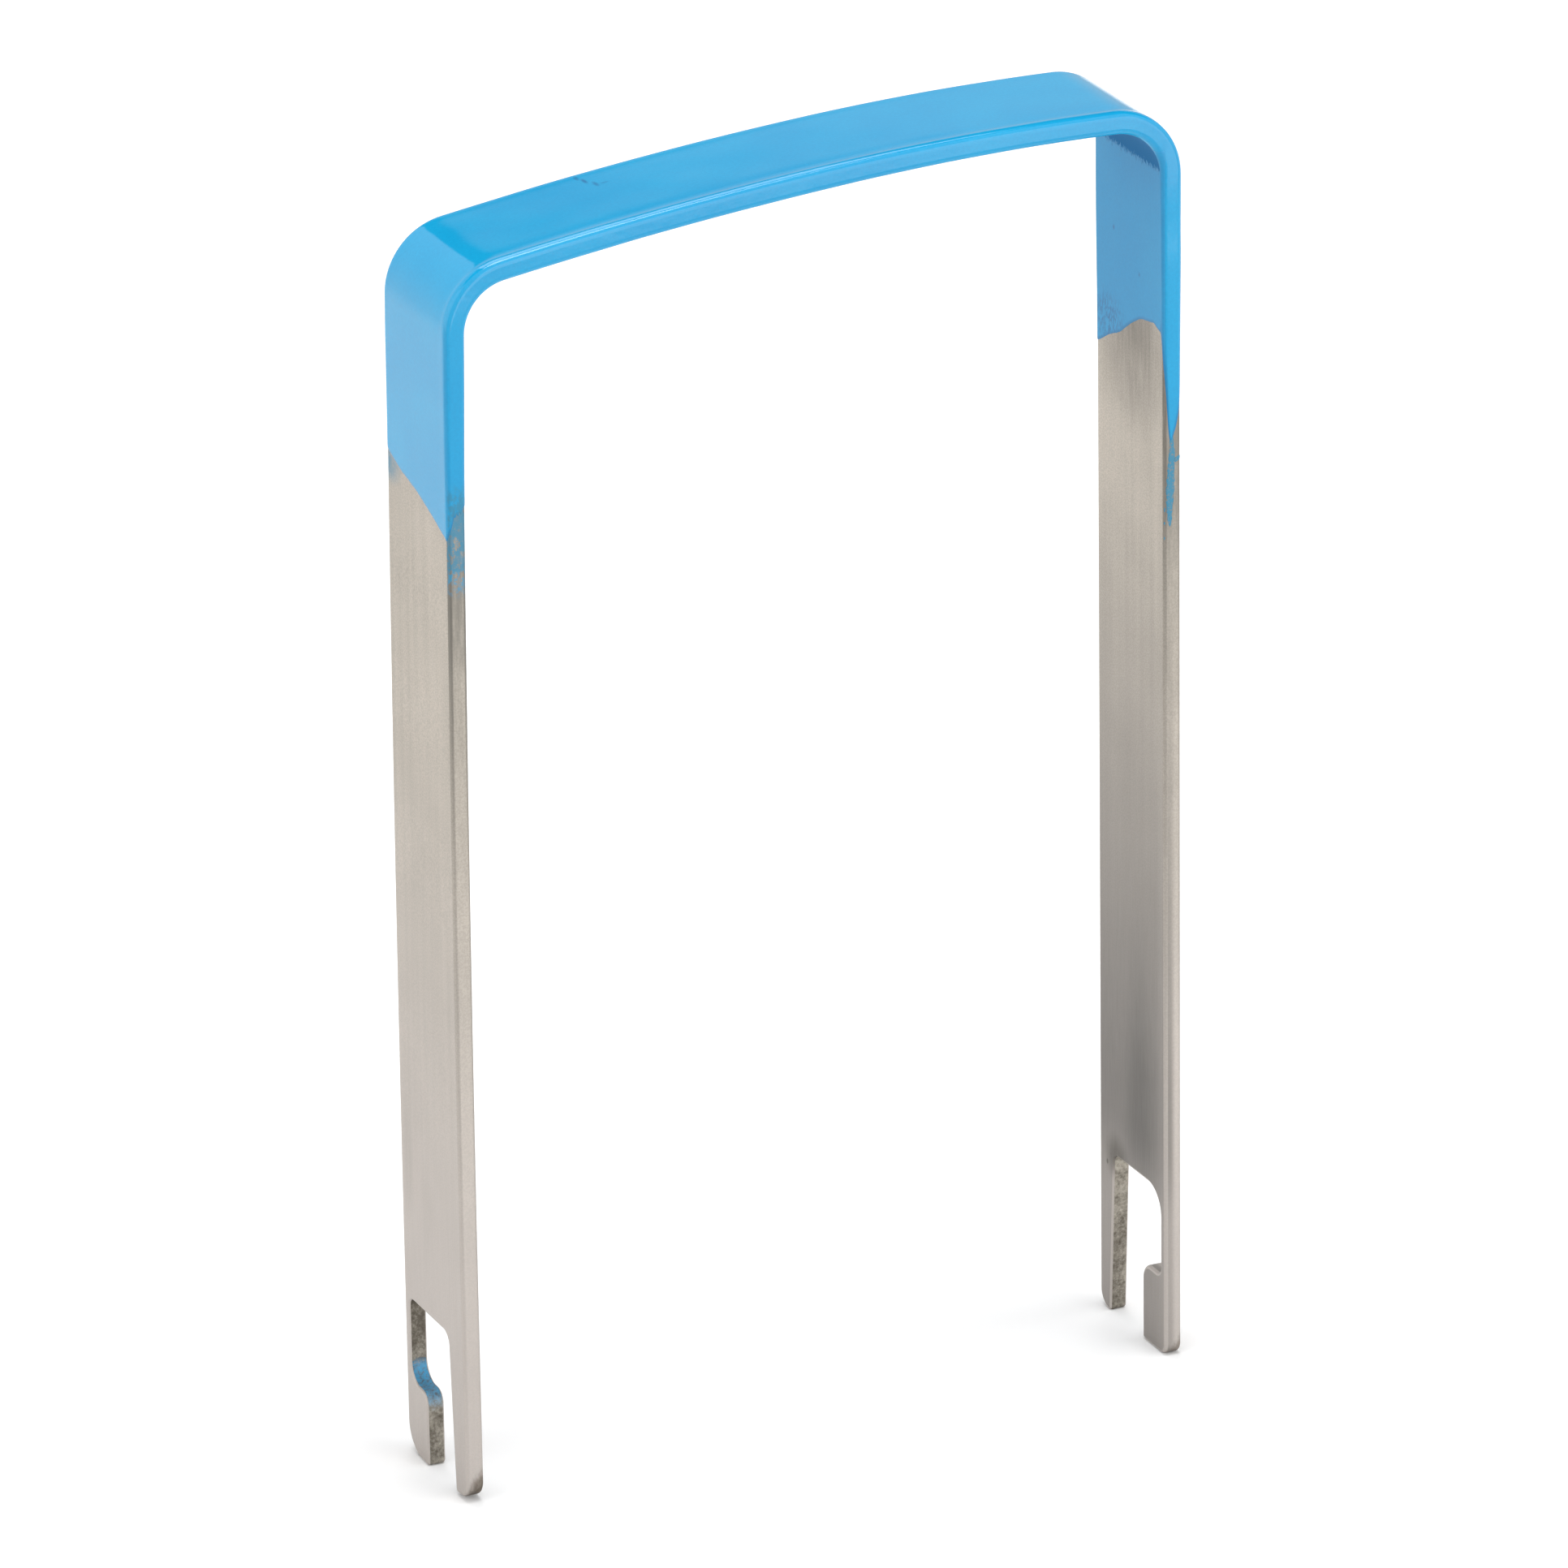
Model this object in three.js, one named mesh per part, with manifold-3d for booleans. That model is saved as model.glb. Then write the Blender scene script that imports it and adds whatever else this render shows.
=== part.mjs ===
// U-shaped lift handle bent from one flat steel strip.
// The bridge is bowed upwards and dipped in blue, and each leg ends in a bayonet fork.
// Millimetres, +Z up. The handle stands on its tines at Z = 0, +X runs along the bridge
// from the short leg to the long one, and -Y is the front.

import * as THREE from 'three';
import { mergeVertices } from 'three/addons/utils/BufferGeometryUtils.js';
import Module from 'manifold-3d';

const wasm = await Module();
wasm.setup();

// Strip
const STRIP_WIDTH = 12.7;
const STRIP_THICKNESS = 1.6;
const EDGE_BREAK = 0.35;

// Centreline of the strip: lengths, and turns in degrees. The bridge rises to the long leg.
const CORNER_RADIUS = 5.2;
const LONG_LEG = 108.25;
const LONG_CORNER_TURN = 88.35;
const BRIDGE_LONG_SIDE = 23.6;
const BRIDGE_LONG_SIDE_TURN = 5.4;
const BRIDGE_SHORT_SIDE = 32.3;
const BRIDGE_SHORT_SIDE_TURN = 4.9;
const SHORT_LEG_TURN = 1;
const CORNER_STEPS = 14;
const BRIDGE_STEPS = 12;
const SHORT_LEG_STEPS = 8;

// Forks: u runs across the leg towards the hook tine, s runs up from the ends of the tines.
// The edges are places along u, slotTop, shelf and straightEnd are places along s, and the
// others are radii.
const HALF_WIDTH = STRIP_WIDTH / 2;
const HOOK_NECK_EDGE = 5.35;
const TINE_INNER_RADIUS = 0.4;
const SHORT_LEG_FORK = {
  hookEdge: 1.95, straightEdgeTop: -3.1, straightEdgeFoot: -3.85, slotTop: 14.5, shelf: 6.8,
  straightEnd: 0.2, nose: 1.2, root: 1.7, hookTop: 0.8, straightTop: 1.1, hookFoot: 2.8,
  straightFoot: 1.6,
};
const LONG_LEG_FORK = {
  hookEdge: 1.9, straightEdgeTop: -3.6, straightEdgeFoot: -4.3, slotTop: 15.3, shelf: 7.4,
  straightEnd: 0, nose: 1.5, root: 0.7, hookTop: 2.4, straightTop: 0.8, hookFoot: 1,
  straightFoot: 1.6,
};
const CUT_MARGIN = 2;

// Dipped coating: a thin sleeve round the bridge and the tops of the legs
const COAT_GAP = 0.02;
const COAT_FILM = 0.12;
const COAT_END = {
  short: { front: 87.2, back: 91.2 },
  long: { front: 94.8, back: 89.6 },
};

const STEEL = new THREE.MeshStandardMaterial({
  name: 'brushed_steel', color: 0xc4beb6, roughness: 0.38, metalness: 1.0,
});
const BLUE = new THREE.MeshStandardMaterial({
  name: 'blue_coating', color: 0x3fa6de, roughness: 0.18, metalness: 0.0,
});

// Points along the centreline, each with the heading of the strip there, from the long leg's
// tines to the short leg's. The last run is as long as brings it down level with the first.
function centreline() {
  const points = [{ x: 0, z: 0, heading: Math.PI / 2 }];
  const run = (length, turn, steps) => {
    const angle = THREE.MathUtils.degToRad(turn) / steps;
    const chord = angle === 0 ? length : (length / steps) * Math.sin(angle / 2) / (angle / 2);
    for (let i = 0; i < steps; i += 1) {
      const { x, z, heading } = points[points.length - 1];
      points.push({
        x: x + chord * Math.cos(heading + angle / 2),
        z: z + chord * Math.sin(heading + angle / 2),
        heading: heading + angle,
      });
    }
  };
  const bridgeTurn = BRIDGE_LONG_SIDE_TURN + BRIDGE_SHORT_SIDE_TURN;
  const shortCornerTurn = 180 - LONG_CORNER_TURN - bridgeTurn - SHORT_LEG_TURN;
  run(LONG_LEG, 0, 1);
  run(arcLength(LONG_CORNER_TURN), LONG_CORNER_TURN, CORNER_STEPS);
  run(BRIDGE_LONG_SIDE, BRIDGE_LONG_SIDE_TURN, BRIDGE_STEPS);
  run(BRIDGE_SHORT_SIDE, BRIDGE_SHORT_SIDE_TURN, BRIDGE_STEPS);
  run(arcLength(shortCornerTurn), shortCornerTurn, CORNER_STEPS);
  const lean = THREE.MathUtils.degToRad(SHORT_LEG_TURN);
  const drop = points[points.length - 1].z;
  run(drop * lean / Math.sin(lean), SHORT_LEG_TURN, SHORT_LEG_STEPS);

  // The widest places are bare steel on the short leg and coated steel on the long one.
  const faces = (offset) => points.map((p) => p.x + outward(p).x * offset);
  const steelSide = Math.min(...faces(STRIP_THICKNESS / 2));
  const coatedSide = Math.max(...faces(STRIP_THICKNESS / 2 + COAT_GAP + COAT_FILM));
  const middle = (steelSide + coatedSide) / 2;
  return points.map((p) => ({ ...p, x: p.x - middle }));
}

function arcLength(turn) {
  return CORNER_RADIUS * THREE.MathUtils.degToRad(turn);
}

function outward(point) {
  return { x: Math.sin(point.heading), z: -Math.cos(point.heading) };
}

// The strip's side view as a closed outline, half a thickness to each side of the centreline.
function sideOutline(points, halfThickness) {
  const side = (offset) => points.map((p) => {
    const n = outward(p);
    return new THREE.Vector2(p.x + n.x * offset, p.z + n.z * offset);
  });
  return new THREE.Shape([...side(halfThickness), ...side(-halfThickness).reverse()]);
}

// A side view in XZ made into a strip along Y, with its long edges broken.
function strip(points, halfThickness, halfWidth, edgeBreak) {
  const geometry = new THREE.ExtrudeGeometry(sideOutline(points, halfThickness), {
    depth: 2 * (halfWidth - edgeBreak),
    bevelThickness: edgeBreak,
    bevelSize: edgeBreak,
    bevelOffset: -edgeBreak,
    bevelSegments: 2,
    steps: 1,
  });
  geometry.translate(0, 0, -(halfWidth - edgeBreak));
  geometry.rotateX(Math.PI / 2);
  return solid(geometry);
}

// A shape drawn across (u, along Y) and up (s, along Z), made solid right through the leg at x.
function acrossLeg(shape, x) {
  const reach = STRIP_THICKNESS / 2 + CUT_MARGIN;
  const geometry = new THREE.ExtrudeGeometry(shape, {
    depth: 2 * reach,
    bevelEnabled: false,
    curveSegments: 6,
  });
  geometry.translate(0, 0, -reach);
  const toLeg = new THREE.Matrix4().makeBasis(
    new THREE.Vector3(0, 1, 0),
    new THREE.Vector3(0, 0, 1),
    new THREE.Vector3(1, 0, 0),
  );
  geometry.applyMatrix4(toLeg);
  geometry.translate(x, 0, 0);
  return geometry;
}

// Everything below the slot that isn't tine: the slot itself and the corners outside the tines.
function forkWaste(fork) {
  const { hookEdge, straightEdgeTop, straightEdgeFoot, slotTop, shelf, straightEnd } = fork;
  const { nose, root, hookTop, straightTop, hookFoot, straightFoot } = fork;
  const quarter = Math.PI / 2;
  const inner = TINE_INNER_RADIUS;
  const outside = HALF_WIDTH + CUT_MARGIN;
  const shape = new THREE.Shape();
  shape.moveTo(-outside, -CUT_MARGIN);
  shape.lineTo(outside, -CUT_MARGIN);
  shape.lineTo(outside, hookFoot);
  shape.absarc(HALF_WIDTH - hookFoot, hookFoot, hookFoot, 0, -quarter, true);
  shape.absarc(hookEdge + inner, inner, inner, -quarter, -2 * quarter, true);
  shape.absarc(hookEdge + nose, shelf - nose, nose, 2 * quarter, quarter, true);
  shape.absarc(HOOK_NECK_EDGE - root, shelf + root, root, -quarter, 0, false);
  shape.absarc(HOOK_NECK_EDGE - hookTop, slotTop - hookTop, hookTop, 0, quarter, false);
  shape.absarc(
    straightEdgeTop + straightTop, slotTop - straightTop, straightTop, quarter, 2 * quarter, false,
  );
  shape.absarc(straightEdgeFoot - inner, straightEnd + inner, inner, 0, -quarter, true);
  shape.absarc(
    -HALF_WIDTH + straightFoot, straightEnd + straightFoot, straightFoot, -quarter, -2 * quarter, true,
  );
  shape.lineTo(-outside, straightEnd + straightFoot);
  return shape;
}

// Everything below the coating's slanting lower edge on one leg.
function coatWaste({ front, back }) {
  const reach = HALF_WIDTH + CUT_MARGIN;
  const slope = (back - front) / STRIP_WIDTH;
  const middle = (back + front) / 2;
  const shape = new THREE.Shape();
  shape.moveTo(-reach, -CUT_MARGIN);
  shape.lineTo(reach, -CUT_MARGIN);
  shape.lineTo(reach, middle + slope * reach);
  shape.lineTo(-reach, middle - slope * reach);
  return shape;
}

function solid(geometry) {
  const bare = geometry.clone();
  bare.deleteAttribute('normal');
  bare.deleteAttribute('uv');
  const merged = mergeVertices(bare, 1e-5);
  return new wasm.Manifold(new wasm.Mesh({
    numProp: 3,
    vertProperties: new Float32Array(merged.attributes.position.array),
    triVerts: new Uint32Array(merged.index.array),
  }));
}

function mesh(name, body, material) {
  const { vertProperties, triVerts } = body.getMesh();
  const geometry = new THREE.BufferGeometry();
  geometry.setAttribute('position', new THREE.BufferAttribute(vertProperties, 3));
  geometry.setIndex(new THREE.BufferAttribute(triVerts, 1));
  geometry.computeVertexNormals();
  const part = new THREE.Mesh(geometry, material);
  part.name = name;
  return part;
}

const path = centreline();
const longTip = path[0];
const shortTip = path[path.length - 1];

function makeStrap() {
  const blank = strip(path, STRIP_THICKNESS / 2, HALF_WIDTH, EDGE_BREAK);
  const shortWaste = acrossLeg(forkWaste(SHORT_LEG_FORK), shortTip.x);
  const longWaste = acrossLeg(forkWaste(LONG_LEG_FORK), 0);
  // The long leg's hook tine is at the front, so its fork is turned half round.
  longWaste.rotateZ(Math.PI);
  longWaste.translate(longTip.x, 0, 0);
  return blank.subtract(solid(shortWaste)).subtract(solid(longWaste));
}

function makeCoating() {
  const clear = STRIP_THICKNESS / 2 + COAT_GAP;
  const skin = strip(path, clear + COAT_FILM, HALF_WIDTH + COAT_GAP + COAT_FILM, EDGE_BREAK);
  const room = strip(path, clear, HALF_WIDTH + COAT_GAP, EDGE_BREAK);
  const shortWaste = acrossLeg(coatWaste(COAT_END.short), shortTip.x);
  const longWaste = acrossLeg(coatWaste(COAT_END.long), longTip.x);
  return skin.subtract(solid(shortWaste)).subtract(solid(longWaste)).subtract(room);
}

const handle = new THREE.Group();
handle.add(mesh('steel_strap', makeStrap(), STEEL));
handle.add(mesh('grip_coating', makeCoating(), BLUE));

export default handle;
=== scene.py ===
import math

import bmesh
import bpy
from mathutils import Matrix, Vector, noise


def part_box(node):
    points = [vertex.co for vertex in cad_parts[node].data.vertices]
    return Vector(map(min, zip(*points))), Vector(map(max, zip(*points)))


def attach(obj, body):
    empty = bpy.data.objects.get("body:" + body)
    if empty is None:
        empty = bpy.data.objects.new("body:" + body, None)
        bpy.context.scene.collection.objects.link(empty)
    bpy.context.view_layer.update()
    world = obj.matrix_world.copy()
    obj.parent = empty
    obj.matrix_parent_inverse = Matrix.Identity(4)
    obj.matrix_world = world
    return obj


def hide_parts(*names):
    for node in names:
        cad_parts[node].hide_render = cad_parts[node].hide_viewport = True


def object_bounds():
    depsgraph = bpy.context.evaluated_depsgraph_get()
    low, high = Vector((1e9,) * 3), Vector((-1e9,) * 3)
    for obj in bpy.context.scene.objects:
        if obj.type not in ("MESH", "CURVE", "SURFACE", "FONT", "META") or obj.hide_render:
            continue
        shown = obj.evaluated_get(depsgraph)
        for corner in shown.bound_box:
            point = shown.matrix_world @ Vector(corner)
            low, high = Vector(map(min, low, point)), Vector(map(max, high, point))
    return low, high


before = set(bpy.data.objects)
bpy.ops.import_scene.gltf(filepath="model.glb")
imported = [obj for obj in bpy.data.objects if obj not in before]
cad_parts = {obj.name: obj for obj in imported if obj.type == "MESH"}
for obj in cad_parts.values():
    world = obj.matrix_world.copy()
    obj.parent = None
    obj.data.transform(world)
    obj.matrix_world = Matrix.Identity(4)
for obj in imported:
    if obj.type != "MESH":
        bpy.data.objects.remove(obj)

# U-shaped lift handle: one steel strip, dipped in blue over its bridge and the tops of its legs,
# with a bayonet fork at the end of each leg.
# The shapes are worked out in millimetres, on the flat strip: y is across it, s runs along it from
# the long leg's tines to the short leg's, and n is out of its outer face. They are bent into place
# when the vertices are made, in metres in the frame's axes: +X along the bridge, +Z up, -Y front.

MM = 0.001
cad_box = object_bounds()
strap_low, strap_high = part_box("steel_strap")

# ---------------------------------------------------------------- camera

CAMERA_AZIMUTH = math.radians(-24.58)
CAMERA_ELEVATION = math.radians(21.95)
CAMERA_ROLL = math.radians(-0.88)
CAMERA_LENS = 251.8
CAMERA_SENSOR = 36
CAMERA_BACK = 946.5
CAMERA_RIGHT = -1.3
CAMERA_UP = 53.13


def make_camera():
    az, el = CAMERA_AZIMUTH, CAMERA_ELEVATION
    back = Vector((math.sin(az) * math.cos(el), -math.cos(az) * math.cos(el), math.sin(el)))
    level = Vector((math.cos(az), math.sin(az), 0))
    right = Matrix.Rotation(CAMERA_ROLL, 3, back) @ level
    up = back.cross(right)
    data = bpy.data.cameras.new("photo_camera")
    data.lens = CAMERA_LENS
    data.sensor_width = CAMERA_SENSOR
    camera = bpy.data.objects.new("photo_camera", data)
    place = (CAMERA_RIGHT * right + CAMERA_UP * up + CAMERA_BACK * back) * MM
    camera.matrix_world = Matrix.Translation(place) @ Matrix((right, up, back)).transposed().to_4x4()
    bpy.context.collection.objects.link(camera)
    bpy.context.scene.camera = camera


# ---------------------------------------------------------------- strip

WIDTH = 12.7
THICKNESS = 1.6
HALF = WIDTH / 2
EDGE_RADIUS = 0.35
FORK_EDGE_RADIUS = 0.25

CORNER_RADIUS = 5.2
LONG_LEG = 108.25
LONG_CORNER_TURN = 88.35
BRIDGE_LONG_SIDE, BRIDGE_LONG_TURN = 23.6, 5.4
BRIDGE_SHORT_SIDE, BRIDGE_SHORT_TURN = 32.3, 4.9
SHORT_LEG_TURN = 1.0
SHORT_CORNER_TURN = 180 - LONG_CORNER_TURN - BRIDGE_LONG_TURN - BRIDGE_SHORT_TURN - SHORT_LEG_TURN


class Path:
    """The strip's centreline: straight and round runs, one after another."""

    def __init__(self, x):
        self.runs = []
        self.end = (x, 0.0, math.pi / 2)
        self.length = 0.0
        self.add(LONG_LEG, 0)
        self.add(CORNER_RADIUS * math.radians(LONG_CORNER_TURN), LONG_CORNER_TURN)
        self.bridge_start = self.length
        self.add(BRIDGE_LONG_SIDE, BRIDGE_LONG_TURN)
        self.add(BRIDGE_SHORT_SIDE, BRIDGE_SHORT_TURN)
        self.bridge_end = self.length
        self.add(CORNER_RADIUS * math.radians(SHORT_CORNER_TURN), SHORT_CORNER_TURN)
        self.short_leg_start = self.length
        lean = math.radians(SHORT_LEG_TURN)
        self.add(self.end[1] * lean / math.sin(lean), SHORT_LEG_TURN)

    def add(self, length, turn):
        self.runs.append((self.length, length, math.radians(turn), self.end))
        self.length += length
        self.end = self.at(self.length)

    def at(self, s):
        """Place and heading of the centreline at s."""
        start, length, turn, (x, z, heading) = next(
            (r for r in self.runs if s < r[0] + r[1]), self.runs[-1]
        )
        along = s - start
        angle = turn * along / length
        chord = along if angle == 0 else along * math.sin(angle / 2) / (angle / 2)
        middle = heading + angle / 2
        return x + chord * math.cos(middle), z + chord * math.sin(middle), heading + angle

    def bend(self, y, s, n):
        """A point of the flat strip, bent into place, in metres."""
        x, z, heading = self.at(s)
        return Vector((x + n * math.sin(heading), y, z - n * math.cos(heading))) * MM

    def turn(self, y, s, n, at):
        """A direction on the flat strip, turned as the strip is at one place along it."""
        heading = self.at(at)[2]
        along = Vector((math.cos(heading), 0, math.sin(heading)))
        out = Vector((math.sin(heading), 0, -math.cos(heading)))
        return (along * s + out * n + Vector((0, y, 0))).normalized()


LONG_X = strap_high.x / MM - THICKNESS / 2
path = Path(LONG_X)


def steps(first, last, count):
    """Even places from first on, the last of them one step before last."""
    return [first + (last - first) * i / count for i in range(count)]


def stations(first, last, step, corner_step):
    """Places along the strip, close together round the corners."""
    corners = (path.bridge_start, path.short_leg_start)
    stops = [first, LONG_LEG, path.bridge_start, path.bridge_end, path.short_leg_start, last]
    made = []
    for a, b in zip(stops, stops[1:]):
        size = corner_step if b in corners else step
        made += steps(a, b, max(1, math.ceil((b - a) / size)))
    return made + [last]


# ---------------------------------------------------------------- forks

# u runs across the leg towards the hook tine, and s up from the tines' ends. The edges are places
# along u, slot_top, shelf and straight_end are places along s, and the other sizes are radii.
HOOK_NECK_EDGE = 5.35
TINE_INNER_RADIUS = 0.4
FORK_TOP = 18.0
SHORT_FORK = dict(
    sheared_hook=True, hook_edge=1.95, straight_edge_top=-3.1, straight_edge_foot=-3.85,
    slot_top=14.5, shelf=6.8, straight_end=0.2, nose=1.2, root=1.7, hook_top=0.8,
    straight_top=1.1, hook_foot=2.8, straight_foot=1.6,
)
LONG_FORK = dict(
    sheared_hook=False, hook_edge=1.9, straight_edge_top=-3.6, straight_edge_foot=-4.3,
    slot_top=15.3, shelf=7.4, straight_end=0, nose=1.5, root=0.7, hook_top=2.4,
    straight_top=0.8, hook_foot=1, straight_foot=1.6,
)
ARC_STEP = math.radians(7.5)
WALL_STEP = 0.3


def fork_outline(
    sheared_hook, hook_edge, straight_edge_top, straight_edge_foot, slot_top, shelf, straight_end,
    nose, root, hook_top, straight_top, hook_foot, straight_foot,
):
    """Outline round both tines, from the hook tine's outer edge to the straight tine's.

    Points are (u, s, normal u, normal s, is wall), where a wall is a sheared one in the slot."""
    inner = TINE_INNER_RADIUS
    neck = HOOK_NECK_EDGE
    arcs = [
        # Centre u, centre s, radius, first angle, last angle, +1 round outside or -1 round
        # inside, and whether it is a wall
        (HALF - hook_foot, hook_foot, hook_foot, 0, -90, 1, False),
        (hook_edge + inner, inner, inner, -90, -180, 1, sheared_hook),
        (hook_edge + nose, shelf - nose, nose, 180, 90, 1, sheared_hook),
        (neck - root, shelf + root, root, -90, 0, -1, sheared_hook),
        (neck - hook_top, slot_top - hook_top, hook_top, 0, 90, -1, sheared_hook),
        (straight_edge_top + straight_top, slot_top - straight_top, straight_top, 90, 180, -1, True),
        (straight_edge_foot - inner, straight_end + inner, inner, 0, -90, 1, True),
        (-HALF + straight_foot, straight_end + straight_foot, straight_foot, -90, -180, 1, False),
    ]
    outline = [(HALF, FORK_TOP, 1, 0, False)]
    for u, s, radius, first, last, side, wall in arcs:
        first, last = math.radians(first), math.radians(last)
        count = math.ceil(abs(last - first) / ARC_STEP)
        for i in range(count + 1):
            angle = first + (last - first) * i / count
            c, d = math.cos(angle), math.sin(angle)
            point = (u + radius * c, s + radius * d, side * c, side * d, wall)
            if i == 0:
                add_straight(outline, point)
            outline.append(point)
    outline.append((-HALF, FORK_TOP, -1, 0, False))
    return outline


def add_straight(outline, end):
    """Points between the outline's last one and end, close together on the slot's walls."""
    start = outline[-1]
    if not (start[4] and end[4]):
        return
    count = int(math.hypot(end[0] - start[0], end[1] - start[1]) / WALL_STEP)
    for i in range(1, count):
        f = i / count
        outline.append(tuple(a + (b - a) * f for a, b in zip(start[:4], end[:4])) + (True,))


# ---------------------------------------------------------------- mesh helpers


def finished_mesh(name, bm):
    bmesh.ops.recalc_face_normals(bm, faces=bm.faces)
    mesh = bpy.data.meshes.new(name)
    bm.to_mesh(mesh)
    bm.free()
    mesh.shade_smooth()
    return mesh


def add_piece(name, mesh, material_list, node):
    """A piece of the visual model, which stands for a CAD node if one is given."""
    piece = bpy.data.objects.new(name, mesh)
    bpy.context.collection.objects.link(piece)
    for material in material_list:
        mesh.materials.append(material)
    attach(piece, "root")
    if node:
        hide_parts(node)


def rough(point, scale, seed):
    """Repeatable noise from -1 to 1 at a place given in millimetres."""
    return noise.noise(Vector((point[0] * scale + seed, point[1] * scale, point[2] * scale - seed)))


# ---------------------------------------------------------------- steel strap

EDGE_SEGMENTS = 4
WALL_SEGMENTS = 5
STRAP_BRIDGE_STEP = 1.5
STRAP_CORNER_STEP = 0.25
WALL_ROUGHNESS = 0.035


def edge_profile(radius):
    """From the outer face's rim round the edge to the inner face's: (inset, n, outwards, up)."""
    points = []
    for i in range(EDGE_SEGMENTS + 1):
        angle = math.pi / 2 * (1 - i / EDGE_SEGMENTS)
        points.append((
            radius * (1 - math.cos(angle)),
            THICKNESS / 2 - radius * (1 - math.sin(angle)),
            math.cos(angle),
            math.sin(angle),
        ))
    flat = THICKNESS / 2 - radius
    middle = [(0, flat * (1 - 2 * i / WALL_SEGMENTS), 1, 0) for i in range(1, WALL_SEGMENTS)]
    mirrored = [(inset, -n, out, -up) for inset, n, out, up in reversed(points)]
    return points + middle + mirrored


def make_strap(materials):
    """The whole strip: one outline round both forks, with a ring of points through its thickness
    at each place on it, and the two flat faces between the first and last points of the rings."""
    total = path.length
    long_end = [(-u, s, -nu, ns, w) for u, s, nu, ns, w in fork_outline(**LONG_FORK)]
    short_end = [(u, total - s, nu, -ns, w) for u, s, nu, ns, w in fork_outline(**SHORT_FORK)]
    stops = stations(FORK_TOP, total - FORK_TOP, STRAP_BRIDGE_STEP, STRAP_CORNER_STEP)[1:-1]
    back_edge = [(HALF, s, 1, 0, False) for s in stops]
    front_edge = [(-HALF, s, -1, 0, False) for s in reversed(stops)]
    outline = long_end + back_edge + short_end + front_edge

    bm = bmesh.new()
    rounding = bm.verts.layers.float.new("rounding")
    rings, normals = [], []
    for y, s, ny, ns, wall in outline:
        radius = FORK_EDGE_RADIUS if wall else EDGE_RADIUS
        ring = []
        for inset, n, out, up in edge_profile(radius):
            shift = -inset
            if wall and inset == 0:
                shift += WALL_ROUGHNESS * rough((y, s, n), scale=1.9, seed=7.0)
            ring.append(bm.verts.new(path.bend(y + ny * shift, s + ns * shift, n)))
            ring[-1][rounding] = 2 * out * abs(up)
            normals.append(path.turn(ny * out, ns * out, up, s))
        rings.append(ring)

    walls = [p[4] for p in outline]
    for i, a in enumerate(rings):
        following = (i + 1) % len(rings)
        b = rings[following]
        for k in range(len(a) - 1):
            face = bm.faces.new((a[k], b[k], b[k + 1], a[k + 1]))
            inside = EDGE_SEGMENTS - 1 <= k <= len(a) - 1 - EDGE_SEGMENTS
            face.material_index = 1 if walls[i] and walls[following] and inside else 0
    first_short = len(long_end) + len(back_edge)
    last_short = first_short + len(short_end)
    back = rings[len(long_end) - 1:first_short + 1]
    front = [rings[0]] + rings[:last_short - 2:-1]
    for rim in (0, -1):
        bm.faces.new([r[rim] for r in rings[:len(long_end)]])
        bm.faces.new([r[rim] for r in rings[first_short:last_short]])
        for (a, b), (c, d) in zip(zip(back, back[1:]), zip(front, front[1:])):
            bm.faces.new((a[rim], b[rim], d[rim], c[rim]))
    mesh = finished_mesh("bent_strap", bm)
    mesh.normals_split_custom_set_from_vertices(normals)
    add_piece("bent_strap", mesh, materials, "steel_strap")


# ---------------------------------------------------------------- coating

# The film is thinnest at its lower edge and grows over FILM_GROWTH to its full thickness. It is
# closed by a skin that lies FILM_ROOT inside the steel.
FILM = 0.13
RIM_FILM = 0.05
FILM_GROWTH = 14.0
FILM_UNEVENNESS = 0.12
FILM_ROOT = 0.03
RIM = 0.3
# A bead stands along the bridge's long edges, with a shallow valley beside it, and less of it is
# left on the legs and at the lower edge.
BEAD = 0.06
BACK_BEAD = 0.008
BEAD_PLACE = 0.62
BEAD_WIDTH = 0.3
LEG_BEAD_SHARE = 0.1
RIM_BEAD_SHARE = 0.4
VALLEY_PLACE = 2.4 * BEAD_PLACE
VALLEY_WIDTH = 2 * BEAD_WIDTH
VALLEY_SHARE = 0.25
# Round the strip's section
SECTION_FLAT = WIDTH - 2 * EDGE_RADIUS
SECTION_EDGE = THICKNESS - 2 * EDGE_RADIUS
SECTION_ARC = EDGE_RADIUS * math.pi / 2
PERIMETER = 2 * (SECTION_FLAT + SECTION_EDGE) + 4 * SECTION_ARC
OUTER_START = SECTION_EDGE / 2 + SECTION_ARC
OUTER_END = OUTER_START + SECTION_FLAT
BACK_MIDDLE = PERIMETER / 2
INNER_START = PERIMETER - OUTER_END
INNER_END = PERIMETER - OUTER_START
# Points round each quarter of it: on half the edge and its rounding, over the bead, on the face
EDGE_STEPS = 6
BEAD_REACH = 1.6
BEAD_STEPS = 14
FACE_STEPS = 12


def section(w):
    """The strip's cross-section at w round it: (y, n, normal y, normal n).

    w starts at the middle of the front edge and goes up over the outer face first."""
    w %= PERIMETER
    if w > BACK_MIDDLE:
        y, n, ny, nn = section(PERIMETER - w)
        return y, -n, ny, -nn
    if w > BACK_MIDDLE / 2:
        y, n, ny, nn = section(BACK_MIDDLE - w)
        return -y, n, -ny, nn
    if w <= SECTION_EDGE / 2:
        return -HALF, w, -1, 0
    if w < OUTER_START:
        angle = (w - SECTION_EDGE / 2) / EDGE_RADIUS
        c, d = math.cos(angle), math.sin(angle)
        return (
            -HALF + EDGE_RADIUS - EDGE_RADIUS * c,
            THICKNESS / 2 - EDGE_RADIUS + EDGE_RADIUS * d,
            -c,
            d,
        )
    return -HALF + EDGE_RADIUS + w - OUTER_START, THICKNESS / 2, 0, 1


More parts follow.
